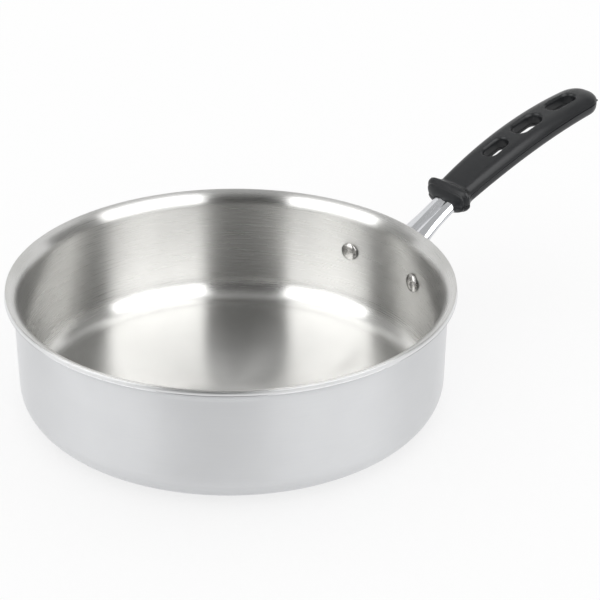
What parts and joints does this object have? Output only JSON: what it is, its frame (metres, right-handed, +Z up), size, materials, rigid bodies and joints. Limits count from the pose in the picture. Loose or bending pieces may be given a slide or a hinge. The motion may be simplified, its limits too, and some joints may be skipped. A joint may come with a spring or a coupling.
{
  "type": "saute pan",
  "caption": "Straight-sided clad saute pan with a flared lip and a riveted steel handle sheathed in a vented silicone grip, for stove-top cooking.",
  "frame": {"origin": "centre of the flat underside of the base, on the bowl's axis", "axes": "+X along the handle, away from the bowl; +Z up, towards the open lip; +Y completes the frame"},
  "size_m": [0.4154, 0.2496, 0.1158],
  "materials": {
    "outer_steel": "satin stainless",
    "core_aluminium": "bare cut edge",
    "inner_steel": "fine circular satin",
    "plated_steel": "bright plating",
    "silicone": "matt moulded",
    "rivet_steel": "polished"
  },
  "bodies": {
    "root": {"outer_ply": "outer_steel", "core_ply": "core_aluminium", "inner_ply": "inner_steel", "handle": "plated_steel", "grip_sleeve": "silicone", "rivet_left": "rivet_steel", "rivet_right": "rivet_steel"}
  },
  "joints": []
}
